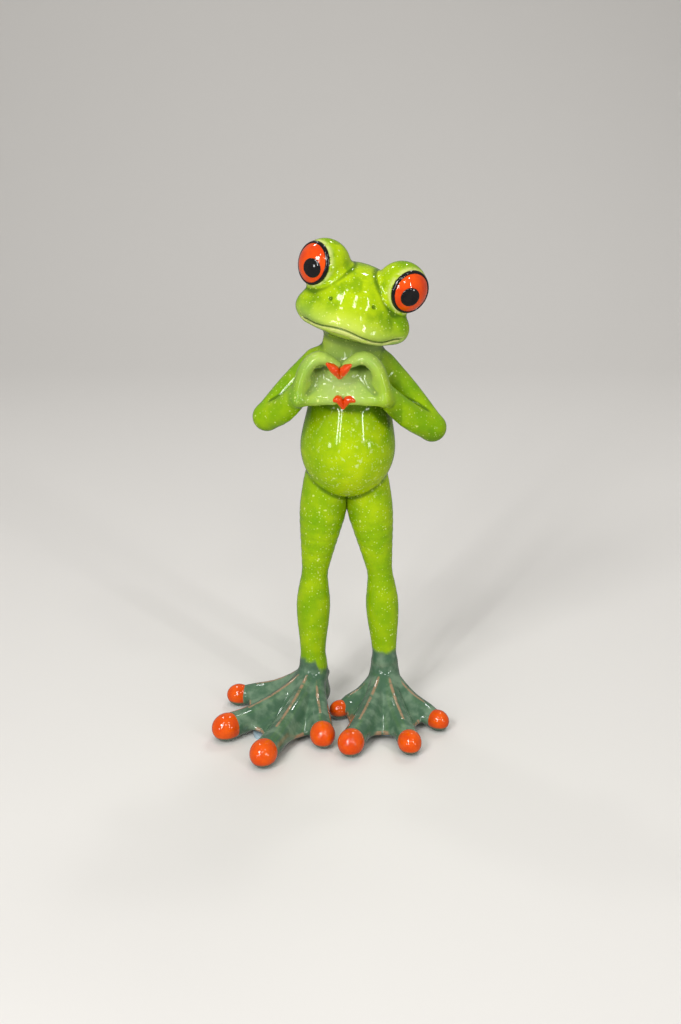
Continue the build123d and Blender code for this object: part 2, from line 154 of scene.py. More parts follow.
# Red ends of fingers and thumbs: shift of the pair, places along one end and its radii
RED_CHAINS = {
    ("finger", -1): (-0.7, ((0.28, 9.1, 1.2), (0.12, 6.5, 1.13), (0.02, 2.8, 1.06)), (0.7, 1.8, 0.6)),
    ("finger", 1): (-0.7, ((0.24, 8.6, 1.2), (0.1, 6.3, 1.13), (0.02, 2.8, 1.06)), (0.7, 1.8, 0.6)),
    ("thumb", -1): (0.6, ((0.19, -5.5, 1.1), (0.1, -5.5, 1.08), (0.01, -9.0, 1.06)), (1.0, 1.6, 0.6)),
    ("thumb", 1): (0.6, ((0.25, -5.6, 1.1), (0.11, -5.5, 1.08), (0.01, -9.0, 1.06)), (1.0, 1.6, 0.6)),
}
RED_SQUEEZE = 0.7
RED_BARS = 7

# Arms, given for the left one; the tilts lower the left arm and raise the right one
SHOULDER = (12.6, 1.0, 149.6)
SHOULDER_TILT = 0.8
ELBOW = (32.4, -7.0, 128.6)
ELBOW_TILT = 2.2
WRIST_OUT = 1.0
WRIST_UP = -4.8
WRIST_FORWARD = 0.9
UPPER_ARM_BEND = (0, 0.5, 1.2)
UPPER_ARM_RADII = (6.2, 5.5, 5.4)
FOREARM_SAG = (0, 0, 1.6)
FOREARM_RADII = (5.5, 5.1, 4.4)
ARM_BARS = 7
ELBOW_JOIN = 0.9
HAND_JOIN = 1.6

# Torso
BELLY_MIDDLE = (-0.7, -2.2, 117.6)
BELLY_RADII = (18.9, 17.6, 21.0)
CHEST_MIDDLE = (0.2, 0.6, 141.0)
CHEST_RADII = (15.2, 12.6, 20.0)
CHEST_JOIN = 10.5
NECK_CHAIN = ((0.8, 1.0, 148.0), (1.2, 0.6, 158.0), (1.2, 0.0, 168.0))
NECK_RADII = (12.0, 11.2, 11.6)
NECK_BARS = 5
NECK_JOIN = 6.0
PALM_MIDDLE = (HEART_X, -13.0, 146.2)
PALM_RADII = (14.5, 5.4, 7.0)
PALM_JOIN = 3.0

# Head
HEAD_MIDDLE = np.array((1.0, -3.5, 172.4))
HEAD_ROLL = 16.0
HEAD_TURN = 6.0
JAW_MIDDLE = (0.7, 0.0, -2.8)
JAW_RADII = (21.7, 21.3, 10.5)
JAW_UNDERSIDE = 7.7
SKULL_MIDDLE = (0.0, 1.5, 4.2)
SKULL_RADII = (18.8, 18.4, 13.7)
SKULL_JOIN = 4.0
CHEEK_MIDDLES = ((-15.4, -5.5, -1.8), (17.6, -5.5, -0.9))
CHEEK_RADIUS = 5.5
CHEEK_JOIN = 3.0
NOSTRILS = ((-8.4, 4.8), (8.0, 6.3))
NOSTRIL_RADIUS = 0.4
NOSTRIL_EDGE = 1.0
FACE_SEARCH = 30.0
FACE_SEARCH_STEPS = 30

# Mouth and lips
MOUTH_HEIGHT = -5.1
MOUTH_TILT = 0.02
MOUTH_CURVE = 0.003
MOUTH_WAVE = 1.1
MOUTH_WAVE_LENGTH = 26.0
MOUTH_WAVE_SHIFT = 1.0
MOUTH_WAVE_END_RAMP = (16.0, 21.0)
RIGHT_SAG = 1.2
RIGHT_SAG_RAMP = (13.0, 20.0)
LEFT_SAG = 0.6
LEFT_SAG_PATCH = (14.5, 4.0)
MOUTH_BACK = -9.0
MOUTH_HALF_GAP = 0.3
MOUTH_DEPTH = 1.0
MOUTH_EDGE = 0.6
LIP_FRONT_RAMP = (-5.0, 3.0)
LIP_END_RAMP = (14.0, 21.0)
LOWER_LIP = 0.9
LOWER_LIP_PATCH = (-1.6, 1.2)
UPPER_LIP = 0.5
UPPER_LIP_PATCH = (1.7, 1.5)

# Eyes
EYE_SIDEWAYS = {-1: 14.8, 1: 15.6}
EYE_FORWARD = 3.0
EYE_RISE = {-1: 14.15, 1: 14.4}
EYE_OUTWARD = {-1: 42.0, 1: 38.0}
EYE_BULGE = 9.9
EYE_BULGE_JOIN = 2.8
EYE_OPENING_DEPTH = 6.08
EYE_CLEARING = 0.5
EYE_CLEARING_RISE = 0.3
EYE_CLEARING_EDGE = 0.6
EYE_RIM_WIDTH = 0.85
EYE_RIM_THICKNESS = 0.4
EYEBALL_RISE = 0.3
EYEBALL_BED = 0.25
EYEBALL_BED_EDGE = 0.4
EYEBALL_BACK = 2.4
EYEBALL_INSET = 0.25
PUPIL_RADIUS = 3.75
PUPIL_OUTWARD = {-1: 21.5, 1: 25.5}
PUPIL_DROP = 7.8
PUPIL_PROUD = 0.25
PUPIL_DEPTH = 1.2
PUPIL_EDGE = 0.3
EYE_OPENING = (EYE_BULGE**2 - EYE_OPENING_DEPTH**2) ** 0.5
EYEBALL_HEIGHT = EYE_BULGE + EYEBALL_RISE - EYE_OPENING_DEPTH
EYEBALL_RADIUS = (EYEBALL_HEIGHT**2 + EYE_OPENING**2) / (2 * EYEBALL_HEIGHT)
EYEBALL_OFFSET = EYE_BULGE + EYEBALL_RISE - EYEBALL_RADIUS

# How softly each piece flows into the one that carries it
JOINS = (
    ("torso", "head", 4.0),
    ("torso", "arm_right", 3.0),
    ("torso", "arm_left", 3.0),
    ("torso", "leg_right", 1.1),
    ("torso", "leg_left", 1.1),
    ("leg_right", "foot_right", 2.0),
    ("leg_left", "foot_left", 2.0),
)
# Arms flow more softly into the chest in front, most of all in the bowl behind the hands
ARM_FRONT_RAMP = (4.0, 9.0)
ARM_FRONT_GAIN = 0.7
BOWL_JOIN_PATCH = (145.5, 5.0)
BOWL_JOIN_SIDE_RAMP = (13.0, 16.0)
OVER_HANDS_RAMP = (151.5, 154.0)
OVER_HANDS_LOSS = 1.45
# Past its border a piece dives under its neighbour and ends a little farther in
FAR = 30.0
DIVE = 0.9
PLUG = 2.5


# Distance fields
def ellipsoid(points, middle, radii):
    scaled = [(p - m) / r for p, m, r in zip(points, middle, radii)]
    length = np.sqrt(scaled[0] ** 2 + scaled[1] ** 2 + scaled[2] ** 2) + TINY
    steep = np.sqrt(sum((s / r) ** 2 for s, r in zip(scaled, radii))) + TINY
    return length * (length - 1.0) / steep


def sphere(points, middle, radius):
    x, y, z = (p - m for p, m in zip(points, middle))
    return np.sqrt(x * x + y * y + z * z) - radius


def bar(points, start, end, start_radius, end_radius):
    """A round bar between two points, with round ends and an even taper."""
    along = np.array(end, float) - np.array(start, float)
    share = sum((p - s) * a for p, s, a in zip(points, start, along)) / max(along @ along, TINY)
    share = np.clip(share, 0.0, 1.0)
    gaps = [p - s - a * share for p, s, a in zip(points, start, along)]
    radius = start_radius + (end_radius - start_radius) * share
    return np.sqrt(gaps[0] ** 2 + gaps[1] ** 2 + gaps[2] ** 2) - radius


def smooth_row(values, count):
    """A row of points, or radii, drawn through the given ones as a smooth curve."""
    values = np.array(values, float)
    ends = np.concatenate((values[:1] * 2 - values[1:2], values, values[-1:] * 2 - values[-2:-1]))
    rows = []
    for place in np.linspace(0, len(values) - 1, count):
        i = min(int(place), len(values) - 2)
        t = place - i
        a, b, c, d = ends[i : i + 4]
        square = 2 * a - 5 * b + 4 * c - d
        cube = 3 * b - a - 3 * c + d
        rows.append(0.5 * (2 * b + (c - a) * t + square * t**2 + cube * t**3))
    return np.array(rows)


def limb(points, chain, radii, count):
    """Bars joined end to end along a smooth chain."""
    chain, radii = smooth_row(chain, count), smooth_row(radii, count)
    distance = None
    for i in range(count - 1):
        piece = bar(points, chain[i], chain[i + 1], radii[i], radii[i + 1])
        distance = piece if distance is None else np.minimum(distance, piece)
    return distance


def blend(a, b, width):
    """Joins two fields with a soft fillet."""
    share = np.clip(0.5 + 0.5 * (b - a) / width, 0.0, 1.0)
    return b * (1 - share) + a * share - width * share * (1 - share)


def carve(a, b, width):
    """Cuts b out of a with a soft edge."""
    return -blend(-a, b, width)


def triangle(points, corners, thickness):
    """A thin plate between three corners."""
    a, b, c = (np.array(corner, float) for corner in corners)
    normal = np.cross(b - a, c - a)
    normal /= np.linalg.norm(normal)
    flat = sum((p - m) * n for p, m, n in zip(points, a, normal))
    inside = None
    for first, second in ((a, b), (b, c), (c, a)):
        outward = np.cross(second - first, normal)
        outward /= np.linalg.norm(outward)
        edge = sum((p - m) * n for p, m, n in zip(points, first, outward))
        inside = edge if inside is None else np.maximum(inside, edge)
    return np.sqrt(np.maximum(inside, 0) ** 2 + flat**2) - thickness / 2


def step_up(values, low, high):
    """Nought below low, one above high, soft between."""
    share = np.clip((values - low) / (high - low), 0.0, 1.0)
    return share * share * (3 - 2 * share)


def hump(values, middle, spread):
    """One at the middle, falling softly to nought on both sides."""
    return np.exp(-(((values - middle) / spread) ** 2))


def from_axis(points, start, axis):
    """Distances along an axis and away from it."""
    moved = [p - s for p, s in zip(points, start)]
    along = sum(m * a for m, a in zip(moved, axis))
    return along, np.sqrt(np.maximum(sum(m * m for m in moved) - along**2, 0))


# Places on the figure
def turn_y(angle):
    c, s = cos(radians(angle)), sin(radians(angle))
    return np.array(((c, 0, s), (0, 1, 0), (-s, 0, c)))


def turn_z(angle):
    c, s = cos(radians(angle)), sin(radians(angle))
    return np.array(((c, -s, 0), (s, c, 0), (0, 0, 1)))


HEAD_TURNING = turn_y(HEAD_ROLL) @ turn_z(-HEAD_TURN)


def in_head(x, y, z):
    """A point given in the head's own directions."""
    return HEAD_MIDDLE + HEAD_TURNING @ np.array((x, y, z), float)


def head_points(points):
    """Field points turned into the head's own directions."""
    moved = [p - m for p, m in zip(points, HEAD_MIDDLE)]
    return [sum(HEAD_TURNING[j, i] * moved[j] for j in range(3)) for i in range(3)]


def eye_place(side):
    """Middle of an eye bulge and its gaze."""
    outward = radians(EYE_OUTWARD[side])
    gaze = HEAD_TURNING @ np.array((side * sin(outward), -cos(outward), 0))
    return in_head(side * EYE_SIDEWAYS[side], -EYE_FORWARD, EYE_RISE[side]), gaze


def pupil_axis(side):
    outward, drop = radians(side * PUPIL_OUTWARD[side]), radians(PUPIL_DROP)
    level = cos(drop)
    return HEAD_TURNING @ np.array((sin(outward) * level, -cos(outward) * level, -sin(drop)))


def ankle(side, height):
    return np.array((side * ANKLE_SPACING / 2, 0.0, height))


def toe_direction(side, angle):
    return np.array((side * sin(radians(angle)), -cos(radians(angle)), 0.0))


def toe_end(side, toe):
    """Middle of the orange end of a toe."""
    angle, reach, size = toe
    height = TOE_TIP_RADIUS * size - TOE_FLAT
    return ankle(side, height) + toe_direction(side, angle) * FOOT_LENGTH * reach


def toe_chain(side, toe):
    """Places along a toe from the ankle to inside its orange end, and the radii there."""
    angle, reach, size = toe
    direction = toe_direction(side, angle)
    chain = []
    radii = []
    for height, share, radius, growth in TOE_STATIONS:
        chain.append(ankle(side, height) + direction * FOOT_LENGTH * reach * share)
        radii.append(radius * size**growth)
    chain.append(toe_end(side, toe) - direction * TOE_TIP_LENGTH * size * TOE_TIP_INSIDE)
    radii.append(TOE_END_RADIUS * size)
    return chain, radii


def heart_point(side, out, up, forward=1.0):
    return np.array((HEART_X + side * HEART_WIDTH * out, -HEART_FORWARD * forward, HEART_HEIGHT + up))


def squeezed(points, squeeze):
    """Field points drawn towards the plane of the heart, which makes what is built there deeper."""
    return [points[0], (points[1] + HEART_FORWARD) * squeeze - HEART_FORWARD, points[2]]


# Fields of the parts of the body
def torso_field(points):
    belly = ellipsoid(points, BELLY_MIDDLE, BELLY_RADII)
    chest = ellipsoid(points, CHEST_MIDDLE, CHEST_RADII)
    neck = limb(points, NECK_CHAIN, NECK_RADII, NECK_BARS)
    palm = ellipsoid(points, PALM_MIDDLE, PALM_RADII)
    body = blend(blend(belly, chest, CHEST_JOIN), neck, NECK_JOIN)
    return blend(body, palm, PALM_JOIN)


def head_field(points):
    local = head_points(points)
    below = np.minimum(local[2] - JAW_MIDDLE[2], 0) * (JAW_RADII[2] / JAW_UNDERSIDE - 1)
    jaw = ellipsoid((local[0], local[1], local[2] + below), JAW_MIDDLE, JAW_RADII)
    distance = blend(jaw, ellipsoid(local, SKULL_MIDDLE, SKULL_RADII), SKULL_JOIN)
    for _, side in SIDES:
        bulge = sphere(points, eye_place(side)[0], EYE_BULGE)
        distance = blend(distance, bulge, EYE_BULGE_JOIN)
    for middle in CHEEK_MIDDLES:
        distance = blend(distance, sphere(local, middle, CHEEK_RADIUS), CHEEK_JOIN)
    return distance


def face_point(x, z):
    """The point of the face in front of a place given in the head's own directions."""
    near, far = -FACE_SEARCH, 0.0
    for _ in range(FACE_SEARCH_STEPS):
        y = (near + far) / 2
        outside = head_field([np.array([p]) for p in in_head(x, y, z)])[0] > 0
        near, far = (y, far) if outside else (near, y)
    return x, near, z


def above_mouth(local):
    """Height above the wavy line of the mouth."""
    x = local[0]
    fading = 1 - step_up(np.abs(x), *MOUTH_WAVE_END_RAMP)
    wave = MOUTH_WAVE * np.cos(2 * np.pi * (x + MOUTH_WAVE_SHIFT) / MOUTH_WAVE_LENGTH) * fading
    sag = RIGHT_SAG * step_up(-x, *RIGHT_SAG_RAMP) + LEFT_SAG * hump(x, *LEFT_SAG_PATCH)
    line = MOUTH_HEIGHT + MOUTH_TILT * x + MOUTH_CURVE * x**2 + wave - sag
    return local[2] - line


def hand_field(points, side):
    flat = squeezed(points, HAND_SQUEEZE)
    finger_chain = [heart_point(side, out, HEART_RISE * up) for out, up in FINGER_SHARES]
    thumb_chain = [heart_point(side, out, HEART_DROP * up) for out, up in THUMB_SHARES]
    fingers = limb(flat, finger_chain, FINGER_RADII, FINGER_BARS)
    thumb = limb(flat, thumb_chain, THUMB_RADII, THUMB_BARS)
    return blend(fingers, thumb, THUMB_JOIN)


def arm_field(points, side):
    shoulder = np.array((side * SHOULDER[0], SHOULDER[1], SHOULDER[2] - side * SHOULDER_TILT))
    elbow = np.array((side * ELBOW[0], ELBOW[1], ELBOW[2] - side * ELBOW_TILT))
    wrist = heart_point(side, WRIST_OUT, WRIST_UP, WRIST_FORWARD)
    upper_middle = (shoulder + elbow) / 2 + np.array(UPPER_ARM_BEND)
    fore_middle = (elbow + wrist) / 2 - np.array(FOREARM_SAG)
    upper = limb(points, (shoulder, upper_middle, elbow), UPPER_ARM_RADII, ARM_BARS)
    fore = limb(points, (elbow, fore_middle, wrist), FOREARM_RADII, ARM_BARS)
    return blend(blend(upper, fore, ELBOW_JOIN), hand_field(points, side), HAND_JOIN)


def leg_field(points, side):
    low, high = LEG_STATIONS[0][0], LEG_STATIONS[-1][0]
    chain = []
    radii = []
    for height, out, sway, radius in LEG_STATIONS:
        lean = HIP_SHIFT * (ANKLE_SPACING / 2 - out) / HIP_SHIFT_SPAN
        shift = LEG_SHIFT * sin(radians(180 * (height - low) / (high - low)))
        chain.append((side * out - lean - shift, sway, height))
        radii.append(radius + LEG_EXTRA_RADIUS[side])
    return limb(points, chain, radii, LEG_BARS)


def web_field(points, side, first, second):
    """The skin between two toes, with its front edge drawn in."""
    root = ankle(side, WEB_ROOT_HEIGHT)
    corners = []
    for angle, reach, _ in (first, second):
        out = toe_direction(side, angle) * FOOT_LENGTH * reach * WEB_CORNER
        corners.append(ankle(side, WEB_CORNER_HEIGHT) + out)
    lengths = [np.linalg.norm(corner - root) for corner in corners]
    between = (corners[0] - root) / lengths[0] + (corners[1] - root) / lengths[1]
    reach = (lengths[0] + lengths[1]) / 2 / WEB_CORNER * WEB_FRONT
    front = root + between / np.linalg.norm(between) * reach
    front[2] = WEB_FRONT_HEIGHT
    left = triangle(points, (root, corners[0], front), WEB_THICKNESS)
    right = triangle(points, (root, front, corners[1]), WEB_THICKNESS)
    return np.minimum(left, right)


def foot_field(points, side):
    toes = TOES["left" if side > 0 else "right"]
    shank = [ankle(side, height) for height in SHANK_HEIGHTS]
    distance = limb(points, shank, SHANK_RADII, SHANK_BARS)
    heel = sphere(points, ankle(side, HEEL_HEIGHT) + (0, HEEL_BACK, 0), HEEL_RADIUS)
    distance = blend(distance, heel, HEEL_JOIN)
    for toe in toes:
        chain, radii = toe_chain(side, toe)
        distance = blend(distance, limb(points, chain, radii, TOE_BARS), TOE_JOIN)
        raised = [point + (0, 0, radius - RIDGE_SINK) for point, radius in zip(chain[:-1], radii)]
        distance = blend(distance, limb(points, raised, RIDGE_RADII, TOE_BARS), RIDGE_JOIN)
    for first, second in zip(toes, toes[1:]):
        distance = blend(distance, web_field(points, side, first, second), WEB_JOIN)
    return np.maximum(distance, SOLE_HEIGHT - points[2])


def skin_field(name, points):
    kind, _, hand = name.partition("_")
    side = 1 if hand == "left" else -1
    if kind == "torso":
        return torso_field(points)
    if kind == "head":
        return head_field(points)
    return {"arm": arm_field, "leg": leg_field, "foot": foot_field}[kind](points, side)


def node_box(name, margin):
    low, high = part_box(name)
    return np.array(low) / MM - STANCE - margin, np.array(high) / MM - STANCE + margin


def field_nearby(name, points):
    """A piece's field where it matters, and a large distance elsewhere."""
    low, high = node_box(name, NEIGHBOUR_MARGIN)
    inside = np.ones(points[0].shape, bool)
    for p, a, b in zip(points, low, high):
        inside &= (p > a) & (p < b)
    distance = np.full(points[0].shape, FAR, np.float32)
    if inside.any():
        distance[inside] = skin_field(name, [p[inside] for p in points])
    return distance


def carve_face(points, distance):
    """Eye openings, lips, nostrils and the line of the mouth."""
    local = head_points(points)
    for _, side in SIDES:
        middle, gaze = eye_place(side)
        along, across = from_axis(points, middle, gaze)
        before = EYE_OPENING_DEPTH + EYE_CLEARING_RISE - along
        clearing = np.maximum(across - EYE_OPENING - EYE_CLEARING, before)
        distance = carve(distance, clearing, EYE_CLEARING_EDGE)
        ball = sphere(points, middle + gaze * EYEBALL_OFFSET, EYEBALL_RADIUS - EYEBALL_BED)
        distance = carve(distance, ball, EYEBALL_BED_EDGE)
    mouth = above_mouth(local)
    beside = np.abs(local[0] - JAW_MIDDLE[0])
    front = step_up(-local[1], *LIP_FRONT_RAMP) * (1 - step_up(beside, *LIP_END_RAMP))
    lips = LOWER_LIP * hump(mouth, *LOWER_LIP_PATCH) + UPPER_LIP * hump(mouth, *UPPER_LIP_PATCH)
    distance = distance - front * lips
    for place in NOSTRILS:
        nostril = sphere(local, face_point(*place), NOSTRIL_RADIUS)
        distance = carve(distance, nostril, NOSTRIL_EDGE)
    groove = np.maximum(np.abs(mouth) - MOUTH_HALF_GAP, -(distance + MOUTH_DEPTH))
    return carve(distance, np.maximum(groove, local[1] - MOUTH_BACK), MOUTH_EDGE)


def arm_join(points):
    """How much more softly than elsewhere an arm flows into the torso at each point."""
    in_front = step_up(-points[1], *ARM_FRONT_RAMP)
    over_hands = in_front * step_up(points[2], *OVER_HANDS_RAMP)
    beside = np.abs(points[0] - HEART_X)
    bowl = hump(points[2], *BOWL_JOIN_PATCH) * (1 - step_up(beside, *BOWL_JOIN_SIDE_RAMP))
    return 1 + (ARM_FRONT_GAIN + bowl) * in_front - OVER_HANDS_LOSS * over_hands


def whole_skin(name, points):
    """The unbroken skin round a piece, and how far each point lies past its border."""
    own = skin_field(name, points)
    skin, rival = own, np.full(own.shape, FAR, np.float32)
    for first, second, width in JOINS:
        if name in (first, second):
            other = field_nearby(second if name == first else first, points)
            if "arm" in second:
                width = width * arm_join(points)
            skin = blend(skin, other, width)
            rival = np.minimum(rival, other)
    if name == "head":
        skin = carve_face(points, skin)
    return skin, own - rival


def cut_skin(name, points):
    """The skin of one piece, which ends inside its neighbours."""
    skin, past = whole_skin(name, points)
    return np.maximum(skin + DIVE * np.maximum(past, 0), past - PLUG)


# Meshes
def largest_shell(verts, quads):
    """Drops the specks that lie apart from the main surface."""
    labels = np.arange(len(verts))
    while True:
        lowest = np.repeat(labels[quads].min(axis=1), 4)
        joined = labels.copy()
        np.minimum.at(joined, quads.ravel(), lowest)
        joined = joined[joined]
        if np.array_equal(joined, labels):
            break
        labels = joined
    kept = labels == np.bincount(labels).argmax()
    numbers = np.cumsum(kept) - 1
    return verts[kept], numbers[quads[kept[quads[:, 0]]]]


def surface(low, high, step, field):
    """Vertices in millimetres, and faces, of the surface where a field is nought."""
    counts = np.ceil((np.array(high) - low) / (step * BLOCK)).astype(int)
    low = np.array(low, float)
    middles = [low[i] + step * (BLOCK * np.arange(counts[i]) + (BLOCK - 1) / 2) for i in range(3)]
    rough = field([m.astype(np.float32) for m in np.meshgrid(*middles, indexing="ij")])
    reach = NEAR_SURFACE * step * BLOCK
    values = np.clip(rough, -reach, reach).astype(np.float32)
    close = np.abs(rough) < reach
    for axis in range(3):
        values = np.repeat(values, BLOCK, axis)
        close = np.repeat(close, BLOCK, axis)
    places = np.nonzero(close)
    values[places] = field([(low[i] + step * places[i]).astype(np.float32) for i in range(3)])
    grid = openvdb.FloatGrid(reach)
    grid.copyFromArray(values.astype(np.float64))
    verts, _, quads = grid.convertToPolygons(isovalue=0.0, adaptivity=0.0)
    verts, quads = largest_shell(verts, quads)
    return verts * step + low, [tuple(face) for face in quads.tolist()]


def probe(field, verts, reach):
    """Unit directions in which a field rises at the vertices, and how sharply it bends there.

    The bend is above nought on ridges and below it in hollows.
    """
    rows, total = [], -6 * field(list(verts.T))
    for axis in range(3):
        ends = []
        for sign in (1, -1):
            moved = verts.copy()
            moved[:, axis] += sign * reach
            ends.append(field(list(moved.T)))
        rows.append(ends[0] - ends[1])
        total = total + ends[0] + ends[1]
    normals = np.stack(rows, axis=1)
    lengths = np.maximum(np.linalg.norm(normals, axis=1, keepdims=True), TINY)
    return normals / lengths, total / reach**2


def add_piece(name, replaced, material, step, field, shading_field=None):
    """Meshes a field round the node it replaces; returns the object, its vertices and their bend."""
    low, high = node_box(replaced, PIECE_MARGIN)
    verts, faces = surface(low, high, step, field)
    mesh = bpy.data.meshes.new(name)
    mesh.from_pydata([tuple(v) for v in (verts + STANCE) * MM], [], faces)
    mesh.materials.append(material)
    mesh.polygons.foreach_set("use_smooth", [True] * len(mesh.polygons))
    normals, fine_bend = probe(shading_field or field, verts, SHADING_REACH)
    mesh.normals_split_custom_set_from_vertices(normals.tolist())
    piece = bpy.data.objects.new(name, mesh)
    bpy.context.scene.collection.objects.link(piece)
    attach(piece, "root")
    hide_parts(replaced)
    return piece, verts, fine_bend


def add_mask(piece, name, values):
    mask = piece.data.attributes.new(name, "FLOAT", "POINT")
    mask.data.foreach_set("value", np.asarray(values, np.float32))


# Colours
GREEN = (0.17, 0.36, 0.002)
YELLOW_GREEN = (0.47, 0.62, 0.003)
# Painted shade for recesses, creases and places under and between parts
PAINTED_SHADE_GREEN = (0.030, 0.10, 0.002)
SHADE_GREEN = (0.12, 0.28, 0.002)
PALE_GREEN = (0.42, 0.56, 0.17)
BRIGHT_YELLOW_GREEN = (0.58, 0.68, 0.10)
FLECK = (0.66, 0.76, 0.20)
BLOTCH = (0.60, 0.70, 0.24)
TEAL = (0.065, 0.14, 0.08)
TEAL_LIGHT = (0.16, 0.25, 0.16)
TAN = (0.34, 0.22, 0.13)
PALE_EDGE = (0.62, 0.66, 0.22)
ORANGE = (0.82, 0.105, 0.003)
ORANGE_DEEP = (0.68, 0.065, 0.002)
RED = (0.72, 0.055, 0.006)
IRIS = (0.82, 0.08, 0.002)
IRIS_DEEP = (0.68, 0.048, 0.002)
BLACK = (0.004, 0.004, 0.005)
BLACK_SOFT = (0.01, 0.009, 0.009)
PAD = (0.42, 0.55, 0.62)
PAD_DEEP = (0.34, 0.47, 0.54)
FLOOR = (0.72, 0.70, 0.67)
WORLD = (1.0, 0.98, 0.95)

# Glaze
GLAZE_ROUGHNESS = 0.07
COAT_ROUGHNESS = 0.02
SKIN_GLOSS = 0.3
SKIN_COAT = 0.1
FEET_EXTRA_COAT = 0.6
SMALL_PIECE_GLOSS = 0.35
SMALL_PIECE_COAT = 0.6

# Patterns of the glaze: size in millimetres and detail of the noise, and what part of it shows
GRAIN_NOISE = (1.1, 2.0)
YELLOWING_NOISE = (7.0, 3.0)
YELLOWING_STRENGTH = 0.9
YELLOWING_RAMP = (0.35, 1.35)
BRUSH_NOISE = (6.0, 4.0)
BRUSH_RAMP = (0.46, 0.66)
BLOTCH_NOISE = (1.9, 3.0)
BLOTCH_RAMP = (0.58, 0.72)
CLOUD_NOISE = (5.0, 4.0)
CLOUD_RAMP = (0.4, 0.7)
TEAL_BORDER_NOISE = (4.0, 2.0)
TEAL_BORDER_STRENGTH = 0.9
TEAL_BORDER_RAMP = (0.65, 1.25)
WEAR_AND_HIGHLIGHT_NOISE = (2.6, 3.0)
WEAR_AND_HIGHLIGHT_RAMP = (0.28, 0.52)
MOTTLE_DETAIL = 3.0
MOTTLE_RAMP = (0.35, 0.7)
# Flecks: size of a cell, radius, softness, and the share of the cells that hold one
SMALL_FLECKS = (1.15, 0.10, 0.20, 0.45)
SMALL_FLECK_STRENGTH = 0.55
LARGE_FLECKS = (2.7, 0.06, 0.13, 0.45)
LARGE_FLECK_STRENGTH = 0.8
FLECK_WOBBLE = 0.5
FLECK_CHOICE = 0.1


# Places of the sockets of a node that mixes colours
MIX_FACTOR = 0
MIX_FIRST = 6
MIX_SECOND = 7
MIX_RESULT = 2


# Materials
def new_material(name, roughness, coat, gloss):
    material = bpy.data.materials.new(name)
    material.use_nodes = True
    shader = material.node_tree.nodes["Principled BSDF"]
    shader.inputs["Roughness"].default_value = roughness
    shader.inputs["Specular IOR Level"].default_value = gloss
    shader.inputs["Coat Weight"].default_value = coat
    shader.inputs["Coat Roughness"].default_value = COAT_ROUGHNESS
    return material, material.node_tree, shader


def node(tree, kind, **values):
    made = tree.nodes.new(kind)
    for key, value in values.items():
        setattr(made, key, value)
    return made


def set_socket(tree, socket, value):
    """Gives a socket a link, a number or a colour."""
    if isinstance(value, bpy.types.NodeSocket):
        tree.links.new(value, socket)
    elif isinstance(value, tuple):
        socket.default_value = (*value, 1.0)
    else:
        socket.default_value = value


def mix_colour(tree, factor, first, second):
    """Mixes two colours; each may be a colour or a socket."""
    mixer = node(tree, "ShaderNodeMix", data_type="RGBA")
    set_socket(tree, mixer.inputs[MIX_FACTOR], factor)
    set_socket(tree, mixer.inputs[MIX_FIRST], first)
    set_socket(tree, mixer.inputs[MIX_SECOND], second)
    return mixer.outputs[MIX_RESULT]


def ramp(tree, source, low, high):
    """Nought at low, one at high, soft between; low may be the greater."""
    made = node(tree, "ShaderNodeMapRange", interpolation_type="SMOOTHSTEP")
    tree.links.new(source, made.inputs["Value"])
    rising = low < high
    made.inputs["From Min"].default_value = min(low, high)
    made.inputs["From Max"].default_value = max(low, high)
    made.inputs["To Min"].default_value = 0.0 if rising else 1.0
    made.inputs["To Max"].default_value = 1.0 if rising else 0.0
    return made.outputs["Result"]


def maths(tree, operation, *values):
    made = node(tree, "ShaderNodeMath", operation=operation)
    for socket, value in zip(made.inputs, values):
        set_socket(tree, socket, value)
    return made.outputs[0]


def times(tree, first, second):
    return maths(tree, "MULTIPLY", first, second)


def noise(tree, coordinates, size_mm, detail):
    made = node(tree, "ShaderNodeTexNoise")
    made.inputs["Scale"].default_value = 1.0 / (size_mm * MM)
    made.inputs["Detail"].default_value = detail
    tree.links.new(coordinates, made.inputs["Vector"])
    return made.outputs["Fac"]


def spots(tree, coordinates, wobble, size_mm, radius, soft, share):
    """Irregular flecks in some of the cells of a cell pattern."""
    cells = node(tree, "ShaderNodeTexVoronoi", feature="F1")
    cells.inputs["Scale"].default_value = 1.0 / (size_mm * MM)
    tree.links.new(coordinates, cells.inputs["Vector"])
    uneven = maths(tree, "MULTIPLY_ADD", wobble, FLECK_WOBBLE, cells.outputs["Distance"])
    border = radius + FLECK_WOBBLE / 2
    flecks = ramp(tree, uneven, border + soft, border)
    chosen = node(tree, "ShaderNodeSeparateColor")
    tree.links.new(cells.outputs["Color"], chosen.inputs[0])
    return times(tree, flecks, ramp(tree, chosen.outputs[0], share + FLECK_CHOICE, share))


def mask_socket(tree, name):
    return node(tree, "ShaderNodeAttribute", attribute_name=name).outputs["Fac"]


